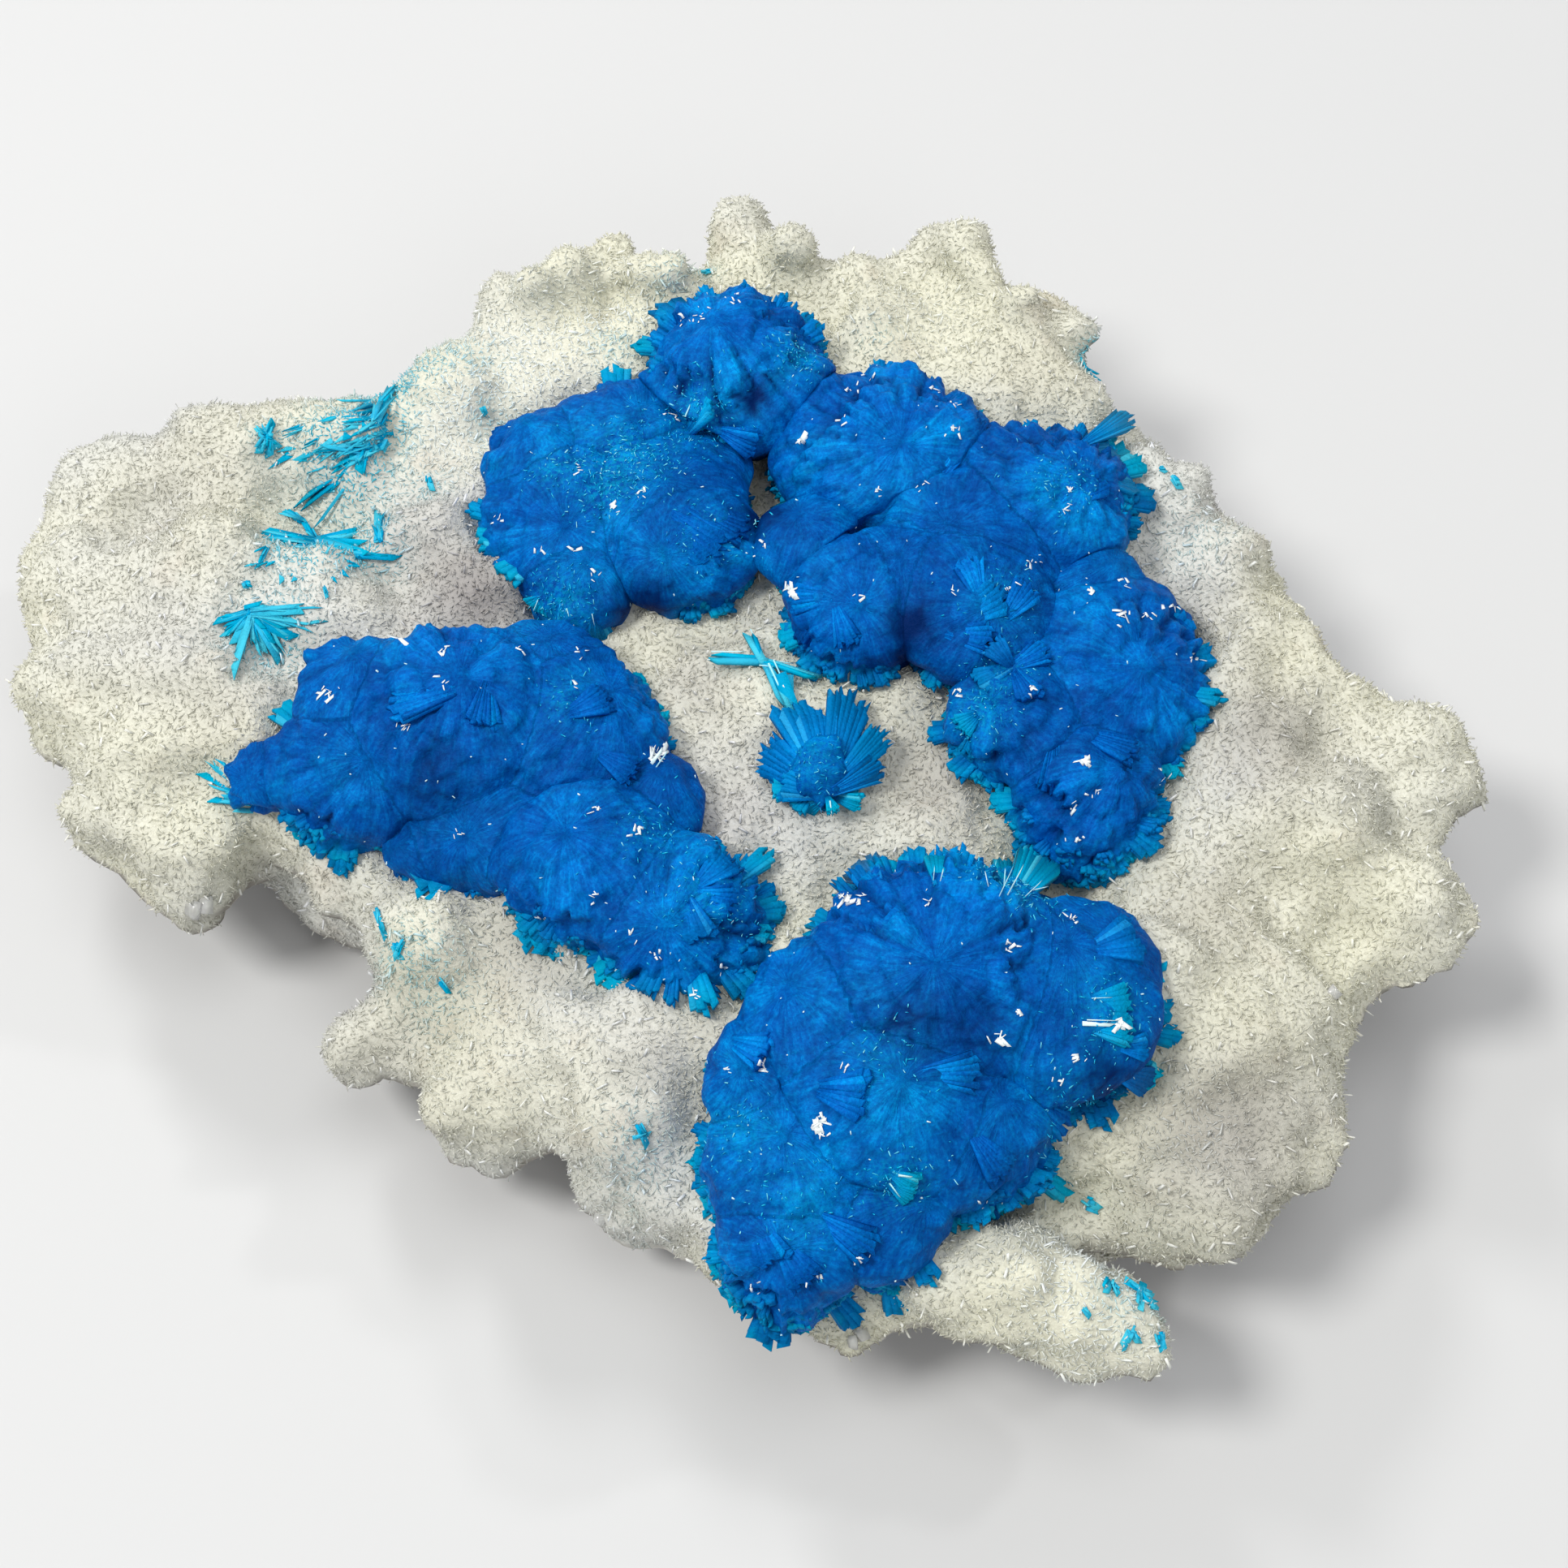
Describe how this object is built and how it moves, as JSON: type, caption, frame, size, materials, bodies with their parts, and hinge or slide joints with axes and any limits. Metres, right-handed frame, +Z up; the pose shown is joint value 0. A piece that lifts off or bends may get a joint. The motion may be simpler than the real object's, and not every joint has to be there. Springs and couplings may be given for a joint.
{
  "type": "cavansite crystal specimen",
  "caption": "Hand specimen of bladed blue cavansite crystal bursts on a lumpy white stilbite matrix, flat underneath.",
  "frame": {"origin": "under the middle of the specimen's outline, on the surface that it rests on", "axes": "+Z up, +X along the longest side, -Y towards the edge with the front crystal burst"},
  "size_m": [0.1133, 0.101, 0.0299],
  "materials": {
    "stilbite": "sparkling crystal crust",
    "cavansite": "glassy blades"
  },
  "bodies": {
    "root": {"stilbite_matrix": "stilbite", "cavansite_upper": "cavansite", "cavansite_left": "cavansite", "cavansite_front": "cavansite", "cavansite_centre": "cavansite", "cavansite_needles": "cavansite", "spray_left_back": "cavansite", "spray_left_middle": "cavansite", "spray_left_front": "cavansite", "spray_right_back": "cavansite", "spray_front_edge": "cavansite"}
  },
  "joints": []
}
